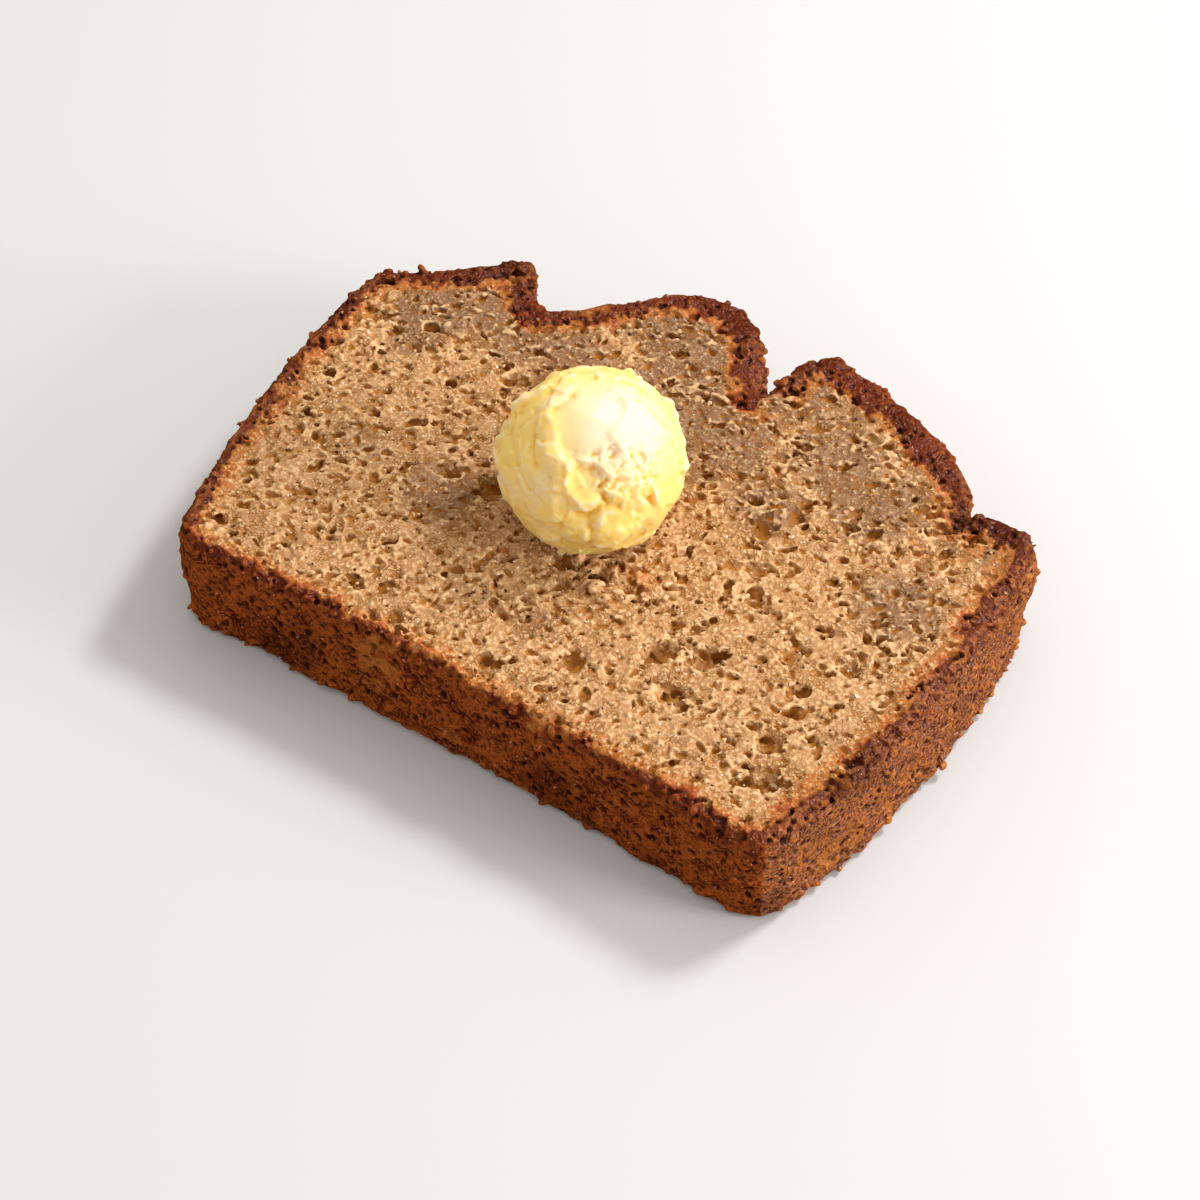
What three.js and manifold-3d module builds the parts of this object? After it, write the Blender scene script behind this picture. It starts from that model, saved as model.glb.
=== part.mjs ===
// A slice of banana bread lying on one cut side, with a ball of butter on the other.
//
// Millimetres, +Z up. The slice is drawn with X along the edge that sat on the tin's floor and
// +Y towards the risen, split top of the loaf; the finished group is then centred on its origin.

import * as THREE from 'three';
import { mergeVertices } from 'three/addons/utils/BufferGeometryUtils.js';
import Module from 'manifold-3d';

const wasm = await Module();
wasm.setup();

// ---- Slice: driving dimensions, from the middle of the edge that sat on the tin's floor ----

const THICKNESS = 18.8;
const BASE_WIDTH = 103.2;
const CREST_HEIGHT = 86.0;     // highest point of the split top
const BASE_HOLLOW = 1.8;       // how far the cut face's edge along the base bows in
const CORNER_RADIUS = 4.0;
const LEFT_WALL = { height: 61.8, flare: 8.9, bow: 2.3 };
const RIGHT_WALL = { height: 67.6, flare: 3.6, bow: 3.0 };
const BASE_LEAN = 1.0;         // the underside reaches further out than the cut face by this much
const RIGHT_LEAN = 1.2;

// The split top from the right wall to the left one: a run of arcs, each given by where it ends
// and by how far it bows outwards. `rough` scales its relief, which is low in the cracks.
const SPLIT_TOP = [
  // Low lobe beside the right wall, as far as a crack that runs into the crumb.
  { x: 51.3, y: 70.4, bow: 0.9 },
  { x: 44.0, y: 69.6, bow: 0.5, rough: 0.4 },
  { x: 43.4, y: 63.2, bow: 0.1, rough: 0 },
  { x: 42.7, y: 63.4, bow: -0.1, rough: 0 },
  { x: 42.8, y: 69.8, bow: 0.1, rough: 0.2 },
  // Right lobe: a long slope up to a blunt crest.
  { x: 40.3, y: 74.2, bow: 0.5 },
  { x: 34.4, y: 78.2, bow: 0.4 },
  { x: 11.6, y: 85.7, bow: 0.9 },
  { x: 6.2, y: 81.1, bow: 1.0 },
  { x: 5.7, y: 73.1, bow: -0.2, rough: 0.2 },
  { x: 5.2, y: 73.3, bow: 0, rough: 0 },
  // Middle lobe: steep on the right, rounded over, then a straight slope.
  { x: 1.4, y: 79.4, bow: -0.3, rough: 0.6 },
  { x: -4.6, y: 85.0, bow: 0.5 },
  { x: -19.1, y: 82.6, bow: 2.6 },
  { x: -30.6, y: 70.7, bow: 0.2 },
  { x: -32.6, y: 69.4, bow: -0.2, rough: 0.3 },
  // Left lobe: an undercut lip, a hook-shaped tip, and a hollow slope to the left wall.
  { x: -37.6, y: 72.6, bow: -0.5, rough: 0.4 },
  { x: -40.9, y: 77.6, bow: 0.4, rough: 0.4 },
  { x: -46.9, y: 71.8, bow: -0.2 },
  { x: -57.6, y: 63.8, bow: -0.4 },
];

// ---- Slice: surface ----

const COLUMN_SPACING = 2.4;
const CRUST_LEVELS = 7;
const CRUST_RELIEF = 0.55;     // height of the crags on the tin-baked crust, either way
const SPLIT_RELIEF = 0.8;     // and on the split top
const CRUST_CRAG_SIZE = 5.0;
const CRUST_SWELL = 0.4;       // the crust stands out from its cut edges by this much
const CUT_FACE_STEP = 2.5;
const CUT_FACE_RELIEF = 0.35;
const CUT_FACE_LUMP_SIZE = 5.5;
const TORN_PATCH = { x: -2, y: 25, reach: 15, gain: 2.2 };   // crumb lifted in front of the butter

// The widest holes of the crumb on the cut face: where they are and how wide they are.
const WIDE_HOLES = [
  [-49.0, 53.0, 2.4], [-44.6, 50.8, 2.2], [-31.3, 47.0, 2.2], [-27.9, 53.0, 1.9],
  [-45.2, 27.4, 2.0], [-17.4, 33.6, 4.0], [-25.7, 32.6, 2.3], [-24.0, 23.0, 2.2],
  [-9.0, 24.4, 2.6], [19.8, 49.3, 3.8], [22.6, 54.2, 2.8], [13.9, 57.6, 2.4],
  [24.0, 42.0, 2.8], [36.8, 47.4, 2.6], [20.6, 21.3, 4.2], [26.3, 23.8, 3.4],
  [25.4, 15.6, 3.2], [36.0, 30.9, 2.6], [44.4, 33.3, 2.6], [42.1, 15.8, 3.2],
  [44.8, 9.6, 2.6], [11.0, 13.1, 3.8], [-14.8, 4.9, 2.6], [1.6, 5.2, 2.4],
];
const SMALL_HOLES = 26;
const SMALL_HOLE_WIDTH = { min: 1.3, max: 2.1 };
const HOLE_SPACING = 4.6;      // least distance between the middles of two holes
const HOLE_MARGIN = 4.5;       // the crumb beside the crust is dense
const HOLE_DEPTH = 0.62;       // of the width

// ---- Butter: driving dimensions ----

const BUTTER_RADIUS = 13.66;
const BUTTER_AT = { x: -3.1, y: 38.7 };
const BUTTER_SINK = 4.1;       // how much of the ball's underside is pressed flat
const BUTTER_GAP = 0.3;
const BUTTER_FACETS = 10;
const SEAT_FLAT = BUTTER_RADIUS - 3.2;   // the cut face is level under the ball, out to here
const SEAT_BLEND = 4.0;

// Places on the ball are given as a bearing and an elevation, in degrees.
const SMOOTH_SCRAPES = [
  { bearing: -57, elevation: 73, depth: 0.85 },
  { bearing: -98, elevation: 24, depth: 0.75 },
  { bearing: -125, elevation: 8, depth: 0.55 },
  { bearing: 20, elevation: 42, depth: 0.4 },
];
const TORN_HOLLOW = { bearing: -37, elevation: 27, reach: 6.4, depth: 1.5, relief: 0.75, grain: 2.6 };
const CURLED_RIDGE = [[-160, 50], [-122, 64], [-101, 57], [-76, 43], [-72, 28], [-66, 14]];
const RIDGE_HEIGHT = 0.8;
const RIDGE_REACH = 1.5;
const KNOBS = [
  // A row of rounded bulges under the torn hollow.
  { bearing: -80, elevation: -12, reach: 3.0, height: 0.7 },
  { bearing: -60, elevation: -14, reach: 3.2, height: 0.8 },
  { bearing: -42, elevation: -15, reach: 3.2, height: 0.7 },
  { bearing: -24, elevation: -8, reach: 3.4, height: 0.7 },
  // Small peaks and flanges left by the scoop.
  { bearing: 96, elevation: 42, reach: 1.9, height: 1.5 },
  { bearing: 116, elevation: 64, reach: 1.7, height: 0.9 },
  { bearing: -151, elevation: 8, reach: 2.2, height: 1.3 },
  { bearing: 38, elevation: 20, reach: 2.6, height: 0.6 },
  { bearing: 24, elevation: 8, reach: 2.6, height: 0.6 },
  // Feet that spread over the crumb.
  { bearing: -98, elevation: -34, reach: 2.2, height: 1.0 },
  { bearing: -82, elevation: -39, reach: 2.0, height: 0.9 },
];
const BUTTER_RELIEF = 0.3;
const BUTTER_LUMP_SIZE = 6.0;

// ---- Seeded randomness ----

function seededRandom(seed) {
  let state = seed;
  return () => {
    state = (state + 0x6D2B79F5) | 0;
    let t = Math.imul(state ^ (state >>> 15), 1 | state);
    t = (t + Math.imul(t ^ (t >>> 7), 61 | t)) ^ t;
    return ((t ^ (t >>> 14)) >>> 0) / 2 ** 32;
  };
}

function latticeValue(ix, iy, iz) {
  let h = Math.imul(ix, 374761393) ^ Math.imul(iy, 668265263) ^ Math.imul(iz, 2147483647);
  h = Math.imul(h ^ (h >>> 13), 1274126177);
  return ((h ^ (h >>> 16)) >>> 0) / 2 ** 31 - 1;
}

// Smooth noise between -1 and 1, whose lumps are about one unit across.
function noise(x, y, z) {
  const cell = [Math.floor(x), Math.floor(y), Math.floor(z)];
  const blend = [x, y, z].map((v, axis) => THREE.MathUtils.smoothstep(v - cell[axis], 0, 1));
  let sum = 0;
  for (let corner = 0; corner < 8; corner++) {
    const step = [corner & 1, (corner >> 1) & 1, corner >> 2];
    const weight = step.reduce((w, s, axis) => w * (s ? blend[axis] : 1 - blend[axis]), 1);
    sum += weight * latticeValue(cell[0] + step[0], cell[1] + step[1], cell[2] + step[2]);
  }
  return sum;
}

// Two octaves of that noise: lumps, with finer lumps on them.
function lumps(x, y, z, size) {
  return noise(x / size, y / size, z / size) + 0.5 * noise(2 * x / size, 2 * y / size, 2 * z / size + 7);
}

// A smooth hump: 1 at the middle and 0 from `reach` outwards.
function hump(distance, reach) {
  return 1 - THREE.MathUtils.smoothstep(distance, 0, reach);
}

// ---- Booleans ----

function toManifold(geometry) {
  const bare = geometry.clone();
  bare.deleteAttribute('normal');
  bare.deleteAttribute('uv');
  const merged = mergeVertices(bare, 1e-4);
  return new wasm.Manifold(new wasm.Mesh({
    numProp: 3,
    vertProperties: new Float32Array(merged.attributes.position.array),
    triVerts: new Uint32Array(merged.index.array),
  }));
}

function toGeometry(solid) {
  const mesh = solid.getMesh();
  const geometry = new THREE.BufferGeometry();
  geometry.setAttribute('position', new THREE.BufferAttribute(mesh.vertProperties, 3));
  geometry.setIndex(new THREE.BufferAttribute(mesh.triVerts, 1));
  geometry.computeVertexNormals();
  return geometry;
}

// ---- Slice ----

// The stretches of the slice's outline, anticlockwise from the left end of the base.
function outlineStretches() {
  const half = BASE_WIDTH / 2;
  const cornerBow = CORNER_RADIUS * (1 - Math.SQRT1_2);
  const rightTop = { x: half + RIGHT_WALL.flare, y: RIGHT_WALL.height };
  const leftTop = { x: -half - LEFT_WALL.flare, y: LEFT_WALL.height };
  return [
    { x: half - CORNER_RADIUS, y: 0, bow: -BASE_HOLLOW, lean: BASE_LEAN, relief: CRUST_RELIEF },
    { x: half + 0.3, y: CORNER_RADIUS, bow: cornerBow, relief: CRUST_RELIEF },
    { ...rightTop, bow: RIGHT_WALL.bow, lean: RIGHT_LEAN, relief: CRUST_RELIEF },
    ...SPLIT_TOP.map((stretch) => ({ ...stretch, relief: SPLIT_RELIEF })),
    { ...leftTop, bow: 0.6, relief: SPLIT_RELIEF },
    { x: -half - 0.4, y: CORNER_RADIUS, bow: LEFT_WALL.bow, relief: CRUST_RELIEF },
    { x: -half + CORNER_RADIUS, y: 0, bow: cornerBow, relief: CRUST_RELIEF },
  ];
}

// One point for each column of the crust, with the outward direction and how rough it is there.
function outlineColumns() {
  const columns = [];
  let from = { x: -BASE_WIDTH / 2 + CORNER_RADIUS, y: 0 };
  for (const stretch of outlineStretches()) {
    const chord = new THREE.Vector2(stretch.x - from.x, stretch.y - from.y);
    const outward = new THREE.Vector2(chord.y, -chord.x).normalize();
    const steps = Math.max(1, Math.round(chord.length() / COLUMN_SPACING));
    for (let i = 0; i < steps; i++) {
      const t = i / steps;
      const bulge = stretch.bow * 4 * t * (1 - t);
      columns.push({
        point: new THREE.Vector2(from.x, from.y).addScaledVector(chord, t).addScaledVector(outward, bulge),
        rough: stretch.rough ?? 1,
        relief: stretch.relief,
        lean: (stretch.lean ?? 0) * Math.sin(Math.PI * t),
      });
    }
    from = stretch;
  }
  return columns.map((column, i) => {
    const before = columns.at(i - 1);
    const after = columns[(i + 1) % columns.length];
    const along = after.point.clone().sub(before.point).normalize();
    return {
      ...column,
      outward: new THREE.Vector2(along.y, -along.x),
      rough: Math.min(column.rough, before.rough),
    };
  });
}

// How far the crust stands out from the outline, or in from it, at one point.
function crustRelief(column, z) {
  const { point, rough, relief } = column;
  const crags = lumps(point.x, point.y, z, CRUST_CRAG_SIZE);
  const fromCutFace = Math.min(z, THICKNESS - z);
  const swell = CRUST_SWELL * THREE.MathUtils.smoothstep(fromCutFace, 0, 2.5);
  const lean = column.lean * (1 - z / THICKNESS);
  return rough * (relief * crags + swell) + lean;
}

// The crust from the underside to above the cut face, as rings of columns closed by two caps.
function crustBlock(columns) {
  const reach = THICKNESS + 3;
  const levels = [];
  for (let k = 0; k < CRUST_LEVELS; k++) {
    levels.push(THICKNESS * k / (CRUST_LEVELS - 1));
  }
  levels.push(reach);
  const positions = [];
  const indices = [];
  const rings = levels.map((z) => columns.map((column) => {
    const out = crustRelief(column, Math.min(z, THICKNESS));
    return column.point.clone().addScaledVector(column.outward, out);
  }));
  rings.forEach((ring, k) => {
    ring.forEach((p) => positions.push(p.x, p.y, levels[k]));
  });
  const count = columns.length;
  for (let k = 0; k + 1 < levels.length; k++) {
    for (let i = 0; i < count; i++) {
      const a = k * count + i;
      const b = k * count + (i + 1) % count;
      indices.push(a, b, b + count, a, b + count, a + count);
    }
  }
  const top = (levels.length - 1) * count;
  for (const [a, b, c] of THREE.ShapeUtils.triangulateShape(rings[0], [])) {
    indices.push(c, b, a);
  }
  for (const [a, b, c] of THREE.ShapeUtils.triangulateShape(rings.at(-1), [])) {
    indices.push(top + a, top + b, top + c);
  }
  const geometry = new THREE.BufferGeometry();
  geometry.setAttribute('position', new THREE.Float32BufferAttribute(positions, 3));
  geometry.setIndex(indices);
  return geometry;
}

// Height of the cut face over its mean level. It is level where the butter rests.
function cutFaceRelief(x, y) {
  const fromButter = Math.hypot(x - BUTTER_AT.x, y - BUTTER_AT.y);
  const clear = THREE.MathUtils.smoothstep(fromButter, SEAT_FLAT, SEAT_FLAT + SEAT_BLEND);
  const torn = hump(Math.hypot(x - TORN_PATCH.x, y - TORN_PATCH.y), TORN_PATCH.reach);
  const gain = 1 + (TORN_PATCH.gain - 1) * torn;
  return clear * gain * CUT_FACE_RELIEF * lumps(x, y, 3, CUT_FACE_LUMP_SIZE);
}

// A slab wider than the slice, whose upper face carries the relief of the cut face.
function cutFaceSlab() {
  const margin = 4;
  const below = 2;
  const width = BASE_WIDTH + 2 * LEFT_WALL.flare + 2 * margin;
  const depth = CREST_HEIGHT + 3 * margin;
  const steps = [Math.round(width / CUT_FACE_STEP), Math.round(depth / CUT_FACE_STEP)];
  const slab = new THREE.BoxGeometry(width, depth, THICKNESS + below, ...steps, 1);
  slab.translate(0, depth / 2 - 1.5 * margin, (THICKNESS - below) / 2);
  const position = slab.attributes.position;
  for (let i = 0; i < position.count; i++) {
    const [x, y, z] = [position.getX(i), position.getY(i), position.getZ(i)];
    if (z > THICKNESS / 2) {
      position.setZ(i, z + cutFaceRelief(x, y));
    }
  }
  return slab;
}

function insideOutline(columns, x, y, margin) {
  const ring = columns.map((column) => column.point);
  let inside = false;
  for (let i = 0, j = ring.length - 1; i < ring.length; j = i, i += 1) {
    if (Math.hypot(ring[i].x - x, ring[i].y - y) < margin) {
      return false;
    }
    const crosses = (ring[i].y > y) !== (ring[j].y > y);
    const t = (y - ring[i].y) / (ring[j].y - ring[i].y);
    if (crosses && x < ring[i].x + t * (ring[j].x - ring[i].x)) {
      inside = !inside;
    }
  }
  return inside;
}

// The wide holes, and small ones drawn between them, clear of the crust, the butter and each other.
function holesOfTheCrumb(columns) {
  const random = seededRandom(11);
  const holes = WIDE_HOLES.map(([x, y, width]) => ({ x, y, width }));
  const wanted = holes.length + SMALL_HOLES;
  while (holes.length < wanted) {
    const x = (random() - 0.5) * (BASE_WIDTH + 2 * LEFT_WALL.flare);
    const y = random() * CREST_HEIGHT;
    const width = THREE.MathUtils.lerp(SMALL_HOLE_WIDTH.min, SMALL_HOLE_WIDTH.max, random());
    const crowded = holes.some((hole) => Math.hypot(hole.x - x, hole.y - y) < HOLE_SPACING);
    const underButter = Math.hypot(x - BUTTER_AT.x, y - BUTTER_AT.y) < SEAT_FLAT + 2;
    if (!crowded && !underButter && insideOutline(columns, x, y, HOLE_MARGIN)) {
      holes.push({ x, y, width });
    }
  }
  return holes;
}

// One hole: an oval, uneven pit with the cut face running through its upper half.
function holeCutter(hole, random) {
  const pit = new THREE.IcosahedronGeometry(hole.width / 2, 1);
  const stretch = 1 + 0.5 * random();
  pit.scale(stretch, 1 / stretch + 0.25, 2 * HOLE_DEPTH);
  pit.rotateZ(2 * Math.PI * random());
  pit.rotateX(0.3 * (random() - 0.5));
  pit.translate(hole.x, hole.y, THICKNESS + cutFaceRelief(hole.x, hole.y));
  return toManifold(pit);
}

function breadSlice() {
  const columns = outlineColumns();
  const random = seededRandom(23);
  let slice = toManifold(crustBlock(columns)).intersect(toManifold(cutFaceSlab()));
  for (const hole of holesOfTheCrumb(columns)) {
    slice = slice.subtract(holeCutter(hole, random));
  }
  return toGeometry(slice.simplify(0.03));
}

// ---- Butter ----

function direction(bearing, elevation) {
  const [b, e] = [THREE.MathUtils.degToRad(bearing), THREE.MathUtils.degToRad(elevation)];
  return new THREE.Vector3(Math.cos(e) * Math.cos(b), Math.cos(e) * Math.sin(b), Math.sin(e));
}

// Distance over the ball's surface between two directions.
function alongBall(a, b) {
  return BUTTER_RADIUS * Math.acos(THREE.MathUtils.clamp(a.dot(b), -1, 1));
}

function distanceToRidge(towards) {
  const line = new THREE.Line3();
  const nearest = new THREE.Vector3();
  let least = Infinity;
  for (let i = 0; i + 1 < CURLED_RIDGE.length; i++) {
    line.set(direction(...CURLED_RIDGE[i]), direction(...CURLED_RIDGE[i + 1]));
    line.closestPointToPoint(towards, true, nearest);
    least = Math.min(least, alongBall(towards, nearest.normalize()));
  }
  return least;
}

// Distance from the ball's middle to its surface in one direction.
function butterReach(towards) {
  const at = towards.clone().multiplyScalar(BUTTER_RADIUS);
  let reach = BUTTER_RADIUS + BUTTER_RELIEF * lumps(at.x, at.y, at.z, BUTTER_LUMP_SIZE);
  for (const { bearing, elevation, depth } of SMOOTH_SCRAPES) {
    const facing = towards.dot(direction(bearing, elevation));
    if (facing > 0.5) {
      reach = Math.min(reach, (BUTTER_RADIUS - depth) / facing);
    }
  }
  reach += RIDGE_HEIGHT * hump(distanceToRidge(towards), RIDGE_REACH);
  const hollow = direction(TORN_HOLLOW.bearing, TORN_HOLLOW.elevation);
  const torn = hump(alongBall(towards, hollow), TORN_HOLLOW.reach);
  const shreds = lumps(at.x, at.y, at.z + 20, TORN_HOLLOW.grain);
  reach += torn * (TORN_HOLLOW.relief * shreds - TORN_HOLLOW.depth);
  for (const knob of KNOBS) {
    reach += knob.height * hump(alongBall(towards, direction(knob.bearing, knob.elevation)), knob.reach);
  }
  return reach;
}

function butterBall() {
  const height = THICKNESS + BUTTER_GAP + BUTTER_RADIUS - BUTTER_SINK;
  const ball = new THREE.IcosahedronGeometry(1, BUTTER_FACETS);
  const position = ball.attributes.position;
  const towards = new THREE.Vector3();
  for (let i = 0; i < position.count; i++) {
    towards.fromBufferAttribute(position, i).normalize();
    towards.multiplyScalar(butterReach(towards));
    const z = Math.max(towards.z, BUTTER_SINK - BUTTER_RADIUS);
    position.setXYZ(i, BUTTER_AT.x + towards.x, BUTTER_AT.y + towards.y, height + z);
  }
  return toGeometry(toManifold(ball).simplify(0.01));
}

// ---- Assembly ----

function piece(name, geometry, colour, roughness) {
  const material = new THREE.MeshStandardMaterial({ color: colour, roughness, metalness: 0 });
  const mesh = new THREE.Mesh(geometry, material);
  mesh.name = name;
  return mesh;
}

const bananaBread = new THREE.Group();
bananaBread.add(piece('bread_slice', breadSlice(), 0xa9794a, 0.85));
bananaBread.add(piece('butter_ball', butterBall(), 0xf6e08a, 0.35));

const box = new THREE.Box3().setFromObject(bananaBread, true);
const middle = box.getCenter(new THREE.Vector3());
bananaBread.position.set(-middle.x, -middle.y, 0);

export default bananaBread;
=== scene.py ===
import math
from typing import NamedTuple

import bmesh
import bpy
import numpy as np
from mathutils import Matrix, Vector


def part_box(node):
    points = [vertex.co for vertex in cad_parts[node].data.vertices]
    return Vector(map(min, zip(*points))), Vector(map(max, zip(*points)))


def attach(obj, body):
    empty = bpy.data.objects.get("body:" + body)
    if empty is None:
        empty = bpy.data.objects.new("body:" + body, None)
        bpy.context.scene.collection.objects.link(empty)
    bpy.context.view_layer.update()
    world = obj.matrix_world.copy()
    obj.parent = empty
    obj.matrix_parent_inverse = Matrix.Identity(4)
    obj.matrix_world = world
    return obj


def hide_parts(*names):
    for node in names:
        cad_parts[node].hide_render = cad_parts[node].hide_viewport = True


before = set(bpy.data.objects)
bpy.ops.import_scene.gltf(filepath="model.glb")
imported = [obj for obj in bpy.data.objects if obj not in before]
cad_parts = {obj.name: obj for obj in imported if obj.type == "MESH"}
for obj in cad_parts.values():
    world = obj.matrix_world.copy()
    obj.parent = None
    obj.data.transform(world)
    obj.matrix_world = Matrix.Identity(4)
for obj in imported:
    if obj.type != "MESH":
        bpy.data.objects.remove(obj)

import openvdb
from mathutils import Vector

bl_info = {
    "name": "Slice of banana bread",
    "version": (1, 0, 0),
    "blender": (4, 5, 0),
    "location": "View3D > Sidebar > Banana bread",
    "description": "Bakes the crumb and crust of a slice of banana bread and sets a ball of butter on it",
    "category": "Object",
}

MM = 0.001          # one millimetre in Blender's metres
BREAD, BUTTER = "bread_slice", "butter_ball"
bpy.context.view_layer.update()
BUTTER_GAP = 0.3 * MM
CUT_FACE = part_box(BUTTER)[0].z - BUTTER_GAP     # height of the slice's upper cut face


# ---------------------------------------- settings

def length(name, description, default, **limits):
    """A size property, in metres."""
    return bpy.props.FloatProperty(name=name, description=description, default=default,
                                   unit="LENGTH", precision=5, min=0.0, **limits)


def angle(name, description, degrees):
    """An angle property, in radians."""
    return bpy.props.FloatProperty(name=name, description=description, default=math.radians(degrees),
                                   subtype="ANGLE")


def colour(name, description, default):
    """A colour property, in linear red, green and blue."""
    return bpy.props.FloatVectorProperty(name=name, description=description, default=default,
                                         subtype="COLOR", size=3, min=0.0, max=1.0)


class BreadSettings(bpy.types.PropertyGroup):
    """Crumb and crust of the slice."""
    detail: length("Detail", "Width of the smallest bump that the crumb's mesh can hold", 0.24 * MM)
    crumb_bumps: length("Crumb bumps", "Height of the uneven crumb over its cut face", 0.24 * MM)
    pores: bpy.props.IntProperty(name="Pores", description="Small pores on the cut face", default=4200,
                                 min=0)
    grain_lie: angle("Lie of the pores", "Bearing that most pores lie along", 34)
    crust_crags: length("Crust crags", "Height of the crags on the crust", 0.34 * MM)
    base_crust: length("Base crust", "How deep the dark crust reaches at the base", 1.4 * MM)
    right_crust: length("Right crust", "How deep the dark crust reaches at the right wall", 2.9 * MM)
    left_crust: length("Left crust", "How deep the dark crust reaches at the left wall", 3.2 * MM)
    top_crust: length("Top crust", "How deep the dark crust reaches at the split top", 5.2 * MM)
    crumb: colour("Crumb", "Main colour of the crumb", (0.455, 0.240, 0.101))
    moist: colour("Moist crumb", "Colour of the dense, moist patches", (0.220, 0.111, 0.054))
    grain: colour("Grains", "Colour of the raised grains", (0.77, 0.51, 0.26))
    # Speck: tiny painted glints, near-white dots that stand in for highlights on the moist crumb.
    crumb_glint: colour("Speck", "Colour of the tiny bright specks of the crumb", (0.97, 0.87, 0.70))
    # Pit and deep pit are painted shade in the pores: amber where light scatters in them, darker in the
    # deepest.
    pit: colour("Pit", "Amber colour inside the pores", (0.36, 0.128, 0.009))
    deep: colour("Deep pit", "Colour in the deepest pores", (0.17, 0.044, 0.003))
    # Pin-holes: dark dots of painted shade for holes too small for the mesh.
    pinhole_shade: colour("Pin-holes", "Colour of the tiniest holes", (0.05, 0.012, 0.002))
    crust: colour("Crust", "Colour of the crust", (0.092, 0.012, 0.004))
    crust_high: colour("Crust highs", "Colour of the high spots of the crust", (0.37, 0.080, 0.009))
    crust_low: colour("Crust lows", "Colour of the pits of the crust", (0.034, 0.005, 0.002))
    # Side crust is a painted sheen: a greyer, paler crust on the side walls, standing in for the bright
    # floor's reflection.
    side_sheen: colour("Side crust", "Greyer colour of the crust on the two side walls",
                       (0.27, 0.115, 0.073))
    rim: colour("Rim", "Colour of the upper rim of the crust", (0.110, 0.017, 0.006))
    # Crust glints: tiny painted highlights on the crust.
    glint: colour("Crust glints", "Colour of the tiny bright specks of the crust", (0.66, 0.30, 0.20))
    toasted: colour("Toasted crumb", "Colour of the crumb next to the crust", (0.46, 0.155, 0.025))


class ButterSettings(bpy.types.PropertyGroup):
    """The ball of butter."""
    detail: length("Detail", "Width of the smallest bump that the butter's mesh can hold", 0.18 * MM)
    radius: length("Radius", "From the middle of the ball to its surface", 13.66 * MM)
    torn_bumps: length("Torn bumps", "Height of the flakes in the torn bowl", 0.12 * MM)
    scrape_bumps: length("Scrape bumps", "Height of the layers where the butter is smooth", 0.14 * MM)
    body: colour("Butter", "Colour of the butter", (0.915, 0.67, 0.20))
    # Pale butter: a paler tone at random, and painted light on the lit side and on raised ridges.
    pale: colour("Pale butter", "Colour of the scraped, smooth butter", (0.80, 0.68, 0.50))
    # Deep butter: painted shade in the butter's hollows and folds.
    deep: colour("Deep butter", "Colour in the folds of the butter", (0.84, 0.53, 0.07))


class CrumbSettings(bpy.types.PropertyGroup):
    """Loose crumbs on the cut face."""
    count: bpy.props.IntProperty(name="Crumbs", description="Loose crumbs on the cut face", default=150,
                                 min=0)
    width: length("Width", "Width of the commonest crumb", 0.8 * MM)


class StageSettings(bpy.types.PropertyGroup):
    """Floor, light and camera."""
    floor: colour("Floor", "Colour of the floor", (0.585, 0.59, 0.605))
    azimuth: angle("Azimuth", "Bearing of the camera", 34.07)
    elevation: angle("Elevation", "Height of the camera as an angle", 49.4)
    distance: length("Distance", "From the camera to what it looks at", 455.4 * MM)
    aim: bpy.props.FloatVectorProperty(name="Aim", description="Point that the camera looks at",
                                       subtype="TRANSLATION", unit="LENGTH", size=3,
                                       default=(0.73 * MM, -5.90 * MM, 0))
    lens: bpy.props.FloatProperty(name="Lens", description="Focal length of the camera, in millimetres",
                                  default=90.0, min=1.0)


# ---------------------------------------- sculpting in a block of distances

class Kind(NamedTuple):
    """A kind of scattered lump or hollow. Each pair is the least and the most."""
    sizes: tuple    # in millimetres
    lift: tuple     # off the surface, as a share of the size
    shape: tuple    # pairs for the length, the breadth and the height, as shares of the size
    blend: float    # how far its edge is rounded, in millimetres
    skew: float     # small ones prevail above 1


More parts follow.
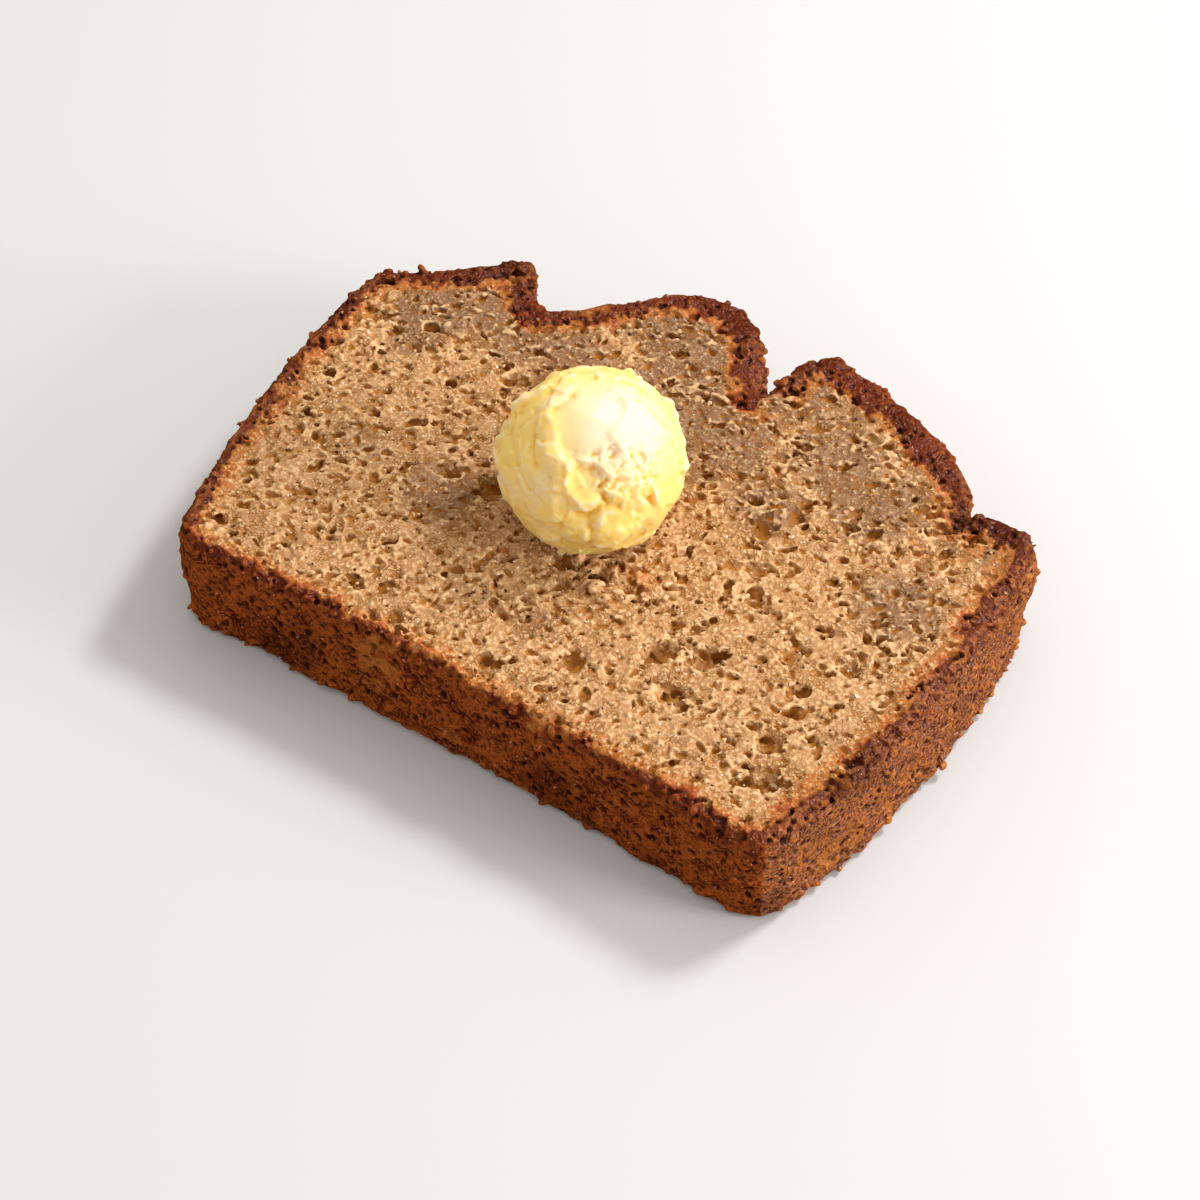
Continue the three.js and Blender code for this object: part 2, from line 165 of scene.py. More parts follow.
class Block:
    """Signed distances to a surface, in millimetres, on a regular grid. They are negative inside."""

    def __init__(self, node, step, margin, reach):
        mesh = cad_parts[node].data
        mesh.calc_loop_triangles()
        points = np.empty(len(mesh.vertices) * 3, np.float32)
        mesh.vertices.foreach_get("co", points)
        triangles = np.empty(len(mesh.loop_triangles) * 3, np.int32)
        mesh.loop_triangles.foreach_get("vertices", triangles)
        points = points.reshape(-1, 3) / np.float32(MM)
        self.step = step
        self.start = np.floor((points.min(0) - margin) / step).astype(int)
        end = np.ceil((points.max(0) + margin) / step).astype(int)
        grid = openvdb.FloatGrid.createLevelSetFromPolygons(
            points, triangles=triangles.reshape(-1, 3).astype(np.uint32),
            transform=openvdb.createLinearTransform(step), halfWidth=reach / step)
        self.values = np.empty(end - self.start + 1, np.float32)
        grid.copyToArray(self.values, ijk=tuple(int(i) for i in self.start))
        self.axes = [(first + np.arange(count)) * step
                     for first, count in zip(self.start, self.values.shape)]
        self.rng = np.random.default_rng(7)
        self.lie = 0.0
        self.ragged = 0.0
        self.unevenness = self.values

    def make_ragged(self, amount, size, lie=0.0):
        """From here on, carve and add lumps with an uneven outline, most of them lying along a bearing."""
        self.lie = lie
        self.ragged = amount
        self.unevenness = self.noise(size) + 0.6 * self.noise(0.55 * size)

    def grids(self):
        """The three axes, shaped so that they spread over the block."""
        x, y, z = self.axes
        return x[:, None, None], y[None, :, None], z[None, None, :]

    def blurred(self, radius):
        """The distances, blurred over the radius."""
        reach = int(math.ceil(2.5 * radius / self.step))
        offsets = np.arange(-reach, reach + 1)
        weights = np.exp(-0.5 * (offsets * self.step / radius) ** 2)
        weights /= weights.sum()
        values = self.values
        for axis in range(3):
            padded = np.pad(values, [(reach, reach) if a == axis else (0, 0) for a in range(3)], "edge")
            values = np.zeros_like(values)
            for offset, weight in zip(range(2 * reach + 1), weights):
                window = [slice(None)] * 3
                window[axis] = slice(offset, offset + values.shape[axis])
                values += np.float32(weight) * padded[tuple(window)]
        return values

    def hollows(self, radius, points):
        """How hollow the surface is at points, compared with its surroundings within the radius."""
        return -self.at(self.blurred(radius), points) / radius

    def noise(self, size):
        """Smooth noise over the whole block, mostly between -1 and 1, with lumps of one size or of three."""
        sizes = np.broadcast_to(size, 3)
        counts = [int((axis[-1] - axis[0]) / s) + 4 for axis, s in zip(self.axes, sizes)]
        values = self.rng.uniform(-1.6, 1.6, counts).astype(np.float32)
        for axis in range(3):
            place = (self.axes[axis] - self.axes[axis][0]) / sizes[axis] + 1
            cell = np.floor(place).astype(int)
            t = place - cell
            spline = ((1 - t) ** 3 / 6, (3 * t ** 3 - 6 * t ** 2 + 4) / 6,
                      (-3 * t ** 3 + 3 * t ** 2 + 3 * t + 1) / 6, t ** 3 / 6)
            matrix = np.zeros((len(t), values.shape[axis]), np.float32)
            for k, weight in enumerate(spline):
                matrix[np.arange(len(t)), cell - 1 + k] = weight
            values = np.moveaxis(np.tensordot(matrix, values, axes=(1, axis)), 0, axis)
        return values

    def near_surface(self, zone, count):
        """Points drawn from where the surface runs through the zone."""
        where = np.argwhere((np.abs(self.values) < 0.6 * self.step) & zone)
        chosen = where[self.rng.integers(0, len(where), count)]
        return (chosen + self.rng.uniform(-0.5, 0.5, chosen.shape) + self.start) * self.step

    def window(self, centre, reach):
        """The part of the block round a point, and the offsets from the point to it."""
        low = np.maximum(((centre - reach) / self.step).astype(int) - self.start, 0)
        high = np.minimum(((centre + reach) / self.step).astype(int) - self.start + 2, self.values.shape)
        window = tuple(slice(a, b) for a, b in zip(low, high))
        x, y, z = (axis[part] - c for axis, part, c in zip(self.axes, window, centre))
        return window, x[:, None, None], y[None, :, None], z[None, None, :]

    def oval(self, centre, radii, turn, blend, ragged):
        """The window round a ragged oval lump, turned about the vertical, and the distance to it."""
        window, x, y, z = self.window(centre, 1.2 * max(radii) + 2 * blend + self.step)
        c, s = math.cos(turn), math.sin(turn)
        across = np.sqrt(((c * x + s * y) / radii[0]) ** 2 + ((c * y - s * x) / radii[1]) ** 2
                         + (z / radii[2]) ** 2)
        return window, (across - 1 + ragged * self.unevenness[window]) * min(radii)

    def carve(self, centre, radii, turn=0.0, blend=0.1):
        """Cut an oval hollow, with its lip rounded by the blend."""
        window, lump = self.oval(centre, radii, turn, blend, self.ragged)
        self.values[window] = -smooth_least(-self.values[window], lump, blend)

    def add(self, centre, radii, turn=0.0, blend=0.1):
        """Add an oval lump, with a fillet round its foot."""
        window, lump = self.oval(centre, radii, turn, blend, 0.8 * self.ragged)
        self.values[window] = smooth_least(self.values[window], lump, blend)

    def outwards(self, points):
        """The direction that points away from the solid at each point."""
        i, j, k = np.clip(np.round(points / self.step).astype(int) - self.start, 1,
                          np.array(self.values.shape) - 2).T
        v = self.values
        slope = np.stack([v[i + 1, j, k] - v[i - 1, j, k], v[i, j + 1, k] - v[i, j - 1, k],
                          v[i, j, k + 1] - v[i, j, k - 1]], axis=1)
        return slope / np.maximum(np.linalg.norm(slope, axis=1, keepdims=True), 1e-6)

    def scatter(self, work, zone, count, kind):
        """Carve or add many ovals of a kind over a zone of the surface."""
        rng = self.rng
        centres = self.near_surface(zone, count)
        least, most = kind.sizes
        spread = least * (most / least) ** (rng.random(count) ** kind.skew)
        centres += self.outwards(centres) * (spread * rng.uniform(*kind.lift, count))[:, None]
        for centre, size in zip(centres, spread):
            radii = size * np.array([rng.uniform(*limits) for limits in kind.shape])
            work(centre, radii, self.lie + rng.normal(0, 0.6), min(kind.blend, 0.5 * size))

    def flakes(self, zone, size, offset, tilt):
        """A field of overlapping flakes over a zone: each keeps its own height and leans its own way."""
        rng = self.rng
        area = zone[np.abs(self.values) < 0.6 * self.step].sum() * self.step ** 2
        centres = self.near_surface(zone, int(area / size ** 2) + 1)
        nearest = np.full(self.values.shape, np.inf, np.float32)
        heights = np.zeros(self.values.shape, np.float32)
        for centre in centres:
            window, x, y, z = self.window(centre, 1.8 * size)
            lean = rng.normal(0, tilt, 3)
            height = rng.uniform(-offset, offset) + x * lean[0] + y * lean[1] + z * lean[2]
            distance = x * x + y * y + z * z
            closer = distance < nearest[window]
            nearest[window] = np.where(closer, distance, nearest[window])
            heights[window] = np.where(closer, height, heights[window])
        return heights

    def at(self, field, points):
        """A field of the block's shape, read between its grid points."""
        place = points / self.step - self.start
        cell = np.clip(np.floor(place).astype(int), 0, np.array(field.shape) - 2)
        t = np.clip(place - cell, 0, 1)
        total = np.zeros(len(points), np.float32)
        for corner in range(8):
            offset = np.array([corner & 1, (corner >> 1) & 1, corner >> 2])
            weight = np.where(offset, t, 1 - t).prod(1)
            i, j, k = (cell + offset).T
            total += (weight * field[i, j, k]).astype(np.float32)
        return total

    def surface(self):
        """The points, triangles and four-sided faces of the surface."""
        band = 3 * self.step
        grid = openvdb.FloatGrid(band)
        grid.transform = openvdb.createLinearTransform(self.step)
        grid.copyFromArray(np.clip(self.values, -band, band), ijk=tuple(int(i) for i in self.start))
        points, triangles, quads = grid.convertToPolygons(isovalue=0.0, adaptivity=0.0)
        return points, triangles.astype(np.int64), quads.astype(np.int64)


def smooth_least(a, b, blend):
    """The lesser of two distances, rounded over the blend where they meet."""
    mix = np.clip(0.5 + 0.5 * (b - a) / blend, 0, 1)
    return b + (a - b) * mix - blend * mix * (1 - mix)


def fade(values, low, high):
    """0 below the low value and 1 above the high one, smooth between them."""
    t = np.clip((values - low) / (high - low), 0, 1)
    return t * t * (3 - 2 * t)


def mesh_object(name, points, faces, layers=None):
    """A smooth-shaded mesh from points in millimetres and lists of equal-sided faces."""
    mesh = bpy.data.meshes.new(name)
    corners = np.concatenate([part.reshape(-1) for part in faces])
    sides = np.concatenate([np.full(len(part), part.shape[1]) for part in faces])
    mesh.vertices.add(len(points))
    mesh.vertices.foreach_set("co", (points * MM).astype(np.float32).ravel())
    mesh.loops.add(len(corners))
    mesh.loops.foreach_set("vertex_index", corners.astype(np.int32))
    mesh.polygons.add(len(sides))
    mesh.polygons.foreach_set("loop_start", np.concatenate([[0], np.cumsum(sides)[:-1]]).astype(np.int32))
    mesh.polygons.foreach_set("use_smooth", np.ones(len(sides), bool))
    mesh.update(calc_edges=True)
    for layer, values in (layers or {}).items():
        mesh.attributes.new(layer, "FLOAT", "POINT").data.foreach_set("value", values.astype(np.float32))
    made = bpy.data.objects.new(name, mesh)
    bpy.context.scene.collection.objects.link(made)
    return made


# ---------------------------------------- materials

class Shader:
    """A material's nodes, added one by one and joined as they are added."""

    def __init__(self, name):
        self.material = bpy.data.materials.new(name)
        self.material.use_nodes = True
        self.tree = self.material.node_tree
        self.bsdf = self.tree.nodes["Principled BSDF"]
        self.place = self.add("ShaderNodeTexCoord").outputs["Object"]

    def add(self, kind, inputs=None, **settings):
        node = self.tree.nodes.new(kind)
        for key, value in settings.items():
            setattr(node, key, value)
        for key, value in (inputs or {}).items():
            self.put(node.inputs[key], value)
        return node

    def put(self, socket, value):
        if isinstance(value, bpy.types.NodeSocket):
            self.tree.links.new(value, socket)
        elif socket.type == "RGBA":
            socket.default_value = (*value, 1.0)
        else:
            socket.default_value = value

    def layer(self, name):
        """A number kept on the mesh's points."""
        return self.add("ShaderNodeAttribute", attribute_name=name).outputs["Fac"]

    def noise(self, size, detail=2.0, roughness=0.5):
        """Noise whose lumps are about the given size, in metres."""
        inputs = {"Vector": self.place, "Scale": 0.5 / size, "Detail": detail, "Roughness": roughness}
        return self.add("ShaderNodeTexNoise", inputs).outputs["Fac"]

    def cells(self, size, feature="F1", place=None):
        """Cells of about the given size, in metres: their distance and their colour."""
        node = self.add("ShaderNodeTexVoronoi", {"Vector": place or self.place, "Scale": 1.0 / size},
                        feature=feature)
        return node.outputs["Distance"], node.outputs.get("Color")

    def swirls(self, size, spacing):
        """Curling lines, like ripples round every lump of a noise of the given size, in metres."""
        rings = self.math("PINGPONG", self.noise(size, 1.0), spacing)
        return self.ramp(rings, 0.1 * spacing, 0.9 * spacing)

    def ramp(self, value, low, high, start=0.0, end=1.0):
        """The value's run from low to high, as a smooth run from start to end."""
        return self.add("ShaderNodeMapRange", {"Value": value, "From Min": low, "From Max": high,
                                               "To Min": start, "To Max": end},
                        interpolation_type="SMOOTHSTEP").outputs["Result"]

    def math(self, operation, a, b=0.0):
        return self.add("ShaderNodeMath", {0: a, 1: b}, operation=operation).outputs[0]

    def times(self, a, b):
        return self.math("MULTIPLY", a, b)

    def mix(self, amount, a, b):
        """Colour a turning into colour b."""
        return self.add("ShaderNodeMix", {0: amount, 6: a, 7: b}, data_type="RGBA").outputs[2]

    def bump(self, height, distance, strength=1.0, under=None):
        """Fine relief of the given height in metres, over other relief."""
        inputs = {"Height": height, "Distance": distance, "Strength": strength}
        if under is not None:
            inputs["Normal"] = under
        return self.add("ShaderNodeBump", inputs).outputs["Normal"]

    def finish(self, **sockets):
        """Set the shader's own sockets."""
        for name, value in sockets.items():
            self.put(self.bsdf.inputs[name.replace("_", " ")], value)
        return self.material


class BreadShader(Shader):
    """The shader of the slice, with the patterns that its crumb and its crust share."""

    def __init__(self, name):
        super().__init__(name)
        self.hollow = self.layer("hollow")
        self.wide = self.layer("wide_hollow")
        self.mottle = self.layer("mottle")
        self.fine = self.noise(0.30 * MM, 2.0, 0.6)
        self.curls = self.swirls(1.3 * MM, 0.07)
        self.moist = self.ramp(self.math("ADD", self.layer("moist"), self.times(self.mottle, 0.2)), 0.1, 0.9)
        # How far into a pit a point lies: it sets the pits' amber painted shade and softens their bump.
        self.pit = self.math("MAXIMUM", self.ramp(self.hollow, 0.08, 0.24), self.ramp(self.wide, 0.12, 0.32))

        # A net and crevices run along the edges of cells, and the crevices carry painted shade. Other cells
        # hold dark dots of painted shade for pin-holes, or tiny painted glints.
        wander = self.add("ShaderNodeTexNoise", {"Vector": self.place, "Scale": 700.0, "Detail": 2.0})
        warped = self.add("ShaderNodeVectorMath",
                          {0: wander.outputs["Color"], 1: (1.4 * MM, 1.4 * MM, 1.4 * MM), 2: self.place},
                          operation="MULTIPLY_ADD").outputs[0]
        edges = self.cells(0.85 * MM, "DISTANCE_TO_EDGE", warped)[0]
        self.net = self.ramp(edges, 0.03, 0.24)
        self.crevice = self.times(self.ramp(edges, 0.03, 0.12, 1.0, 0.0), self.ramp(self.mottle, -0.1, 0.3))
        dot, tone = self.cells(0.95 * MM, place=warped)
        chance = self.add("ShaderNodeSeparateColor", {"Color": tone}).outputs[2]
        self.pinhole_shade = self.times(self.ramp(dot, 0.20, 0.30, 1.0, 0.0), self.ramp(chance, 0.87, 0.89))
        bright = self.times(self.ramp(dot, 0.09, 0.19, 1.0, 0.0), self.ramp(chance, 0.34, 0.32))
        self.bright = self.times(bright, self.ramp(self.moist, 0.0, 1.0, 1.0, 0.4))


def crumb_colours(s, look):
    """Dense moist patches and pale raised grains, with painted light and shade: paler highs and amber lows
    of the fine bumps, amber painted shade in pits and crevices, darker in the deepest pores, nearly black
    dots for pin-holes, and tiny painted glints.
    """
    # Painted highlight: the crumb turns paler on the highs of the fine bumps, less on moist patches.
    grainy = s.times(s.ramp(s.fine, 0.52, 0.64), s.ramp(s.moist, 0.0, 1.0, 0.65, 0.3))
    crumb = s.mix(s.moist, look.crumb, look.moist)
    crumb = s.mix(grainy, crumb, look.grain)
    # Painted shade: the lows of the fine bumps, the crevices and the pits turn amber, the deepest pores
    # darker and the pin-holes nearly black; raised grains turn paler.
    crumb = s.mix(s.ramp(s.fine, 0.46, 0.34, 0.0, 0.45), crumb, look.pit)
    crumb = s.mix(s.ramp(s.hollow, -0.12, -0.36, 0.0, 0.65), crumb, look.grain)
    crumb = s.mix(s.times(s.crevice, 0.7), crumb, look.pit)
    crumb = s.mix(s.times(s.pit, 0.95), crumb, look.pit)
    crumb = s.mix(s.ramp(s.wide, 0.30, 0.85, 0.0, 0.9), crumb, look.deep)
    crumb = s.mix(s.times(s.pinhole_shade, 0.95), crumb, look.pinhole_shade)
    # Tiny painted glints over the crumb.
    return s.mix(s.bright, crumb, look.crumb_glint)


def crust_colours(s, look):
    """A curling net of ridges round dark pits, darkest on the upper rim, with painted shade in the pits, a
    painted sheen greying the side walls and lighter ridges there, and tiny painted glints.
    """
    rim = s.layer("top")
    patch = s.layer("patch")
    side = s.layer("side")
    # Painted sheen on the side walls, standing in for the bright floor's reflection: greyer, paler lows, and
    # lighter ridges there.
    sheen_mask = s.times(side, s.ramp(s.fine, 0.40, 0.56, 0.3, 0.75))
    ridge = s.mix(s.times(side, 0.8), look.crust_high, look.toasted)
    high = s.times(s.ramp(s.hollow, -0.08, -0.36), s.ramp(rim, 0.0, 1.0, 0.85, 0.45))
    orange = s.times(s.ramp(patch, -0.25, -0.60, 0.0, 0.6), s.ramp(s.mottle, 0.0, 0.4))
    crust = s.mix(s.ramp(s.mottle, -0.7, 0.6), look.crust, look.crust_high)
    crust = s.mix(sheen_mask, crust, look.side_sheen)
    crust = s.mix(s.times(s.net, 0.6), crust, look.crust_low)
    crust = s.mix(s.ramp(s.curls, 0.6, 1.0, 0.0, 0.7), crust, ridge)
    crust = s.mix(s.times(rim, 0.85), crust, look.rim)
    # Painted shade deepens the crust's pits.
    crust = s.mix(s.ramp(s.hollow, 0.05, 0.35, 0.0, 0.9), crust, look.crust_low)
    crust = s.mix(high, crust, ridge)
    crust = s.mix(s.ramp(patch, 0.0, 0.8, 0.0, 0.55), crust, look.crust_low)
    crust = s.mix(orange, crust, look.toasted)
    # Tiny painted glints over the crust.
    return s.mix(s.times(s.bright, 0.75), crust, look.glint)


def bread_material(look):
    """Moist tan crumb with amber painted shade in its pits, turning golden, then dark red-brown and glossy,
    towards the crust.
    """
    s = BreadShader("baked crumb and crust")
    crumb = crumb_colours(s, look)
    crust = crust_colours(s, look)

    # From the crust inwards: dark skin, orange-brown band, golden band, crumb.
    depth = s.math("ADD", s.layer("inside"), s.times(s.mottle, 1.1))
    speckled = s.math("ADD", depth, s.ramp(s.fine, 0.3, 0.7, -0.8, 0.8))
    golden = s.mix(s.ramp(s.fine, 0.40, 0.60, 0.2, 0.65), look.toasted, crumb)
    toasted = s.mix(s.ramp(s.mottle, -0.6, 0.6), look.crust_high, look.toasted)
    # Painted shade darkens the pits of the toasted band.
    toasted = s.mix(s.ramp(s.hollow, 0.05, 0.30, 0.0, 0.8), toasted, look.crust)
    inner = s.mix(s.ramp(speckled, 1.0, 4.0), golden, crumb)
    inner = s.mix(s.ramp(speckled, 0.4, 1.4), toasted, inner)
    baked = s.ramp(depth, -0.4, 0.4)
    colours = s.mix(baked, crust, inner)

    # Fine roughness, with curls and a net on the skin and crevices in the crumb. The skin is the glossiest.
    skin = s.math("SUBTRACT", 1.0, baked)
    rough = s.times(s.ramp(skin, 0.0, 1.0, 1.0, 0.75), s.ramp(s.pit, 0.0, 1.0, 1.0, 0.4))
    relief = s.bump(s.fine, 0.26 * MM, rough)
    lines = s.mix(baked, s.math("SUBTRACT", s.curls, s.net), s.times(s.crevice, -1.0))
    relief = s.bump(lines, s.ramp(baked, 0.0, 1.0, 0.09 * MM, 0.16 * MM), 0.9, relief)
    gloss = s.math("MAXIMUM", s.ramp(s.mottle, 0.1, 0.5, 0.0, 0.7), skin)
    roughness = s.ramp(gloss, 0.0, 1.0, 0.50, 0.26)
    return s.finish(Base_Color=colours, Roughness=roughness, Normal=relief, Specular_IOR_Level=0.26)


def butter_material(look):
    """Waxy pale yellow butter that lets a little light through."""
    s = Shader("butter")
    hollow = s.layer("hollow")
    colours = s.mix(s.ramp(s.noise(4 * MM, 2.0), 0.45, 0.70, 0.0, 0.5), look.body, look.pale)
    # Painted light: the butter turns pale towards the lit side round LIT.
    colours = s.mix(s.layer("lit_side"), colours, look.pale)
    # Painted highlight on raised ridges, and painted shade, deep orange, in hollows and folds.
    colours = s.mix(s.ramp(hollow, -0.05, -0.35, 0.0, 0.6), colours, look.pale)
    colours = s.mix(s.ramp(hollow, 0.03, 0.45, 0.0, 0.7), colours, look.deep)
    relief = s.bump(s.noise(0.5 * MM, 3.0, 0.6), 0.08 * MM, 0.6)
    return s.finish(Base_Color=colours, Roughness=0.42, Normal=relief, Specular_IOR_Level=0.16,
                    Subsurface_Weight=0.7, Subsurface_Radius=(2.2 * MM, 1.4 * MM, 0.4 * MM),
                    Subsurface_Scale=1.0)


def floor_material(look):
    """Plain pale matt floor."""
    s = Shader("pale floor")
    return s.finish(Base_Color=look.floor, Roughness=0.9)


# ---------------------------------------- pieces

def wear(piece, material, node=None):
    """Give a piece its material, hide the part of model.glb that it replaces, and give it its place on the
    body.
    """
    piece.data.materials.append(material)
    if node:
        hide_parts(node)
    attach(piece, "root")


def crust_thickness(outward_x, outward_y, look):
    """How deep the crust reaches at a wall that faces a direction, in millimetres."""
    weights = [np.maximum(d, 0) ** 2 + 1e-4 for d in (-outward_y, outward_x, -outward_x, outward_y)]
    depths = (look.base_crust, look.right_crust, look.left_crust, look.top_crust)
    return sum(weight * depth / MM for weight, depth in zip(weights, depths)) / sum(weights)


# Places on the cut face, in millimetres of the frame: the largest pits with their half lengths and half
# breadths, the torn crumb in front of the butter and its toasted flake, then dense patches and the cracks of
# the top, where the crust is thin, each with its width.
PITS = ((-43.5, 12.5, 1.8, 1.2), (-33.5, 5.0, 1.6, 1.1), (-26.5, 10.0, 2.2, 1.4), (-26.0, 3.0, 1.8, 1.3),
        (-23.0, -11.0, 2.2, 1.3), (-16.0, -9.5, 2.4, 1.6), (0.8, -16.3, 2.0, 1.5), (7.2, -15.4, 2.2, 1.4),
        (20.5, -17.0, 1.7, 1.2), (22.0, -22.0, 2.4, 1.6), (28.0, -20.0, 2.4, 1.4), (27.5, -27.5, 1.8, 1.3),
        (42.0, -17.5, 2.0, 1.3), (46.0, -10.0, 2.0, 1.4), (43.5, -21.0, 1.7, 1.2), (43.5, -27.5, 1.9, 1.3),
        (46.5, -33.0, 1.8, 1.2), (20.5, 6.5, 2.2, 1.4), (24.5, -1.5, 1.8, 1.2), (28.5, -6.5, 2.0, 1.3),
        (25.0, 10.5, 1.8, 1.2))
TORN_CRUMB = (8.5, -13.5)
FLAKE = (12.3, -12.7)
DENSE = ((-30.7, 18.3, 9.0), (-44.0, 9.0, 6.0), (-21.8, -14.9, 9.0), (24.0, 24.0, 12.0), (20.0, 10.0, 9.0),
         (-4.0, 30.0, 8.0), (46.0, 4.0, 10.5))
CRACKS = ((44.3, 19.0, 6.5), (9.5, 28.7, 4.0))
PRESSED, OPEN = 9.0, 11.5       # from the butter's middle to where crumb is pressed flat and where it isn't
TORN_REACH = 5.5

# What is scattered over the surfaces, and how uneven its outlines are in the crumb and on the crust.
CRUMB_RAGGED, CRUST_RAGGED = 0.55, 0.38
CRUMB_LUMPS = Kind((0.32, 0.85), (-0.75, -0.3), ((0.8, 1.6), (0.6, 1.0), (0.6, 0.9)), 0.06, 1.3)
WIDE_PORES = Kind((0.70, 1.4), (-0.1, 0.35), ((1.0, 1.7), (0.6, 0.9), (0.8, 1.1)), 0.08, 1.8)
PORES = Kind((0.35, 0.70), (-0.1, 0.4), ((1.0, 2.2), (0.55, 0.95), (0.9, 1.3)), 0.05, 1.4)
PIN_HOLES = Kind((0.25, 0.36), (-0.2, 0.4), ((0.8, 1.6), (0.7, 1.0), (1.2, 1.8)), 0.04, 1.4)
GRAINS = Kind((0.25, 0.42), (-0.6, 0.2), ((0.8, 1.4), (0.6, 1.0), (0.7, 1.0)), 0.04, 1.0)
TORN_LUMPS = Kind((0.5, 1.2), (-0.5, 0.2), ((0.8, 1.5), (0.6, 0.9), (0.7, 1.0)), 0.08, 1.2)
TORN_HOLES = Kind((0.4, 0.9), (-0.4, 0.3), ((0.8, 1.6), (0.6, 0.9), (0.9, 1.4)), 0.08, 1.2)
SKIN_LUMPS = Kind((0.35, 0.9), (-1.0, -0.7), ((0.8, 1.5), (0.8, 1.5), (0.6, 1.1)), 0.15, 1.4)
SKIN_PITS = Kind((0.30, 0.75), (-0.1, 0.4), ((0.6, 1.3), (0.6, 1.3), (0.6, 1.2)), 0.06, 1.6)
FOOT_NUBS = Kind((0.35, 0.85), (-0.9, -0.5), ((0.8, 1.8), (0.7, 1.1), (0.7, 1.1)), 0.15, 1.3)
RIM_LUMPS = Kind((0.40, 0.95), (-1.0, -0.7), ((0.8, 1.4), (0.7, 1.1), (0.7, 1.1)), 0.12, 1.2)
RIM_PITS = Kind((0.28, 0.60), (-0.1, 0.5), ((0.8, 1.5), (0.7, 1.0), (0.7, 1.2)), 0.10, 1.3)
CREST_LUMPS = Kind((0.4, 1.0), (-1.0, -0.6), ((0.8, 1.4), (0.7, 1.1), (0.7, 1.1)), 0.15, 1.5)
BUTTER_NUBS = Kind((0.25, 0.5), (-0.6, 0.1), ((0.7, 1.3), (0.6, 1.0), (0.7, 1.2)), 0.10, 1.0)


def crust_depths(block, face, look):
    """How deep points lie below the wall and past the crust, its thickness and how far it faces aside."""
    x, y, _ = block.grids()

    # Read well inside the thickness, so that the cut faces don't count.
    levels = np.clip(block.axes[2], 9.0, face - 9.0)
    below = -block.values[:, :, np.round(levels / block.step).astype(int) - block.start[2]]
    slope_x, slope_y = np.gradient(-below[:, :, below.shape[2] // 2])
    steep = np.maximum(np.hypot(slope_x, slope_y), 1e-6)
    thickness = crust_thickness(slope_x / steep, slope_y / steep, look)[:, :, None]
    thickness = thickness * (1 + 0.18 * block.noise((5.0, 5.0, 40.0)) + 0.15 * block.noise((2.2, 2.2, 20.0)))
    for crack_x, crack_y, width in CRACKS:
        thickness = thickness * fade(np.hypot(x - crack_x, y - crack_y), 0.3 * width, width)
    inside = below - thickness + 8 * fade(below, 5.5, 7.0)
    return below, inside, thickness, fade(np.abs(slope_x / steep), 0.4, 0.85)[:, :, None]


def moist_patches(block):
    """Where the crumb is dense and moist: in patches, and more towards the top of the loaf."""
    x, y, _ = block.grids()
    patches = block.noise((9.0, 9.0, 60.0)) + 0.5 * block.noise((4.0, 4.0, 30.0))
    moist = fade(patches + fade(y, -18, 34) - 0.33, 0.0, 0.75)
    for dense_x, dense_y, size in DENSE:
        away = fade(np.hypot(x - dense_x, y - dense_y), 0.3 * size, 1.1 * size)
        moist = np.maximum(moist, 0.85 * (1 - away))
    return moist


def swell(block, face, below, inside, moist, open_crumb, look):
    """Round the rim, and make the crumb bumpy and the crust craggy."""
    y, z = block.grids()[1:]
    split = fade(y, 16, 26)
    inner = fade(inside, -0.6, 0.6)
    outer = 1 - inner
    edge = np.maximum(1 - below / 1.5, 0) * np.maximum(1 - np.minimum(face - z, z + 0.6) / 1.5, 0)
    block.values += 0.5 * edge
    bumps = look.crumb_bumps / MM * inner * open_crumb
    crags = look.crust_crags / MM
    even = 1 - 0.3 * moist
    block.values += bumps * even * (block.noise(2.6) - 1.1 * np.abs(block.noise(1.3)) + 0.5)
    block.values += outer * crags * (0.55 + 0.6 * split) * (block.noise(3.4) + 0.6 * block.noise(1.5))
    block.values -= 0.9 * bumps * even * (np.abs(block.noise(0.7)) - 0.5)


def open_pores(block, face, inside, open_crumb, look):
    """Scatter pores and grains over the cut faces, and put the largest pits and the torn crumb in place."""
    x, y, z = block.grids()
    top = (np.abs(z - face) < 2.2) & (inside > -0.8) & (open_crumb > 0.5)
    underside = (z < 2.0) & (inside > -0.8)
    for zone, part in ((top, 1.0), (underside, 0.35)):
        count = int(part * look.pores)
        block.scatter(block.add, zone, int(1.1 * count), CRUMB_LUMPS)
        block.scatter(block.carve, zone, count // 11, WIDE_PORES)
        block.scatter(block.carve, zone, int(0.6 * count), PORES)
        block.scatter(block.carve, zone, int(0.4 * count), PIN_HOLES)
        block.scatter(block.add, zone, int(0.6 * count), GRAINS)
    for pit_x, pit_y, half_length, half_breadth in PITS:
        block.carve(np.array([pit_x, pit_y, face + 0.1]), (half_length, half_breadth, 1.7), block.lie, 0.15)
    torn = top & (np.hypot(x - TORN_CRUMB[0], y - TORN_CRUMB[1]) < TORN_REACH)
    block.scatter(block.add, torn, 60, TORN_LUMPS)
    block.scatter(block.carve, torn, 45, TORN_HOLES)


def roughen_crust(block, face, below, inside):
    """Scatter pits and lumps over the baked skin, and more of them at its foot, its rim and its crest."""
    y, z = block.grids()[1:]
    skin = (below < 1.0) & (z > 0.5) & (z < face - 0.3)
    block.scatter(block.add, skin, 1800, SKIN_LUMPS)
    block.scatter(block.carve, skin, 6000, SKIN_PITS)
    foot = (below < 0.8) & (z > 0.3) & (z < 2.0)
    block.scatter(block.add, foot, 420, FOOT_NUBS)
    rims = (inside < 0.2) & (np.abs(z - face) < 1.8)
    block.scatter(block.add, rims, 1600, RIM_LUMPS)
    block.scatter(block.carve, rims, 1700, RIM_PITS)
    crest = (inside < -1.0) & (y > 18)
    block.scatter(block.add, crest, 700, CREST_LUMPS)


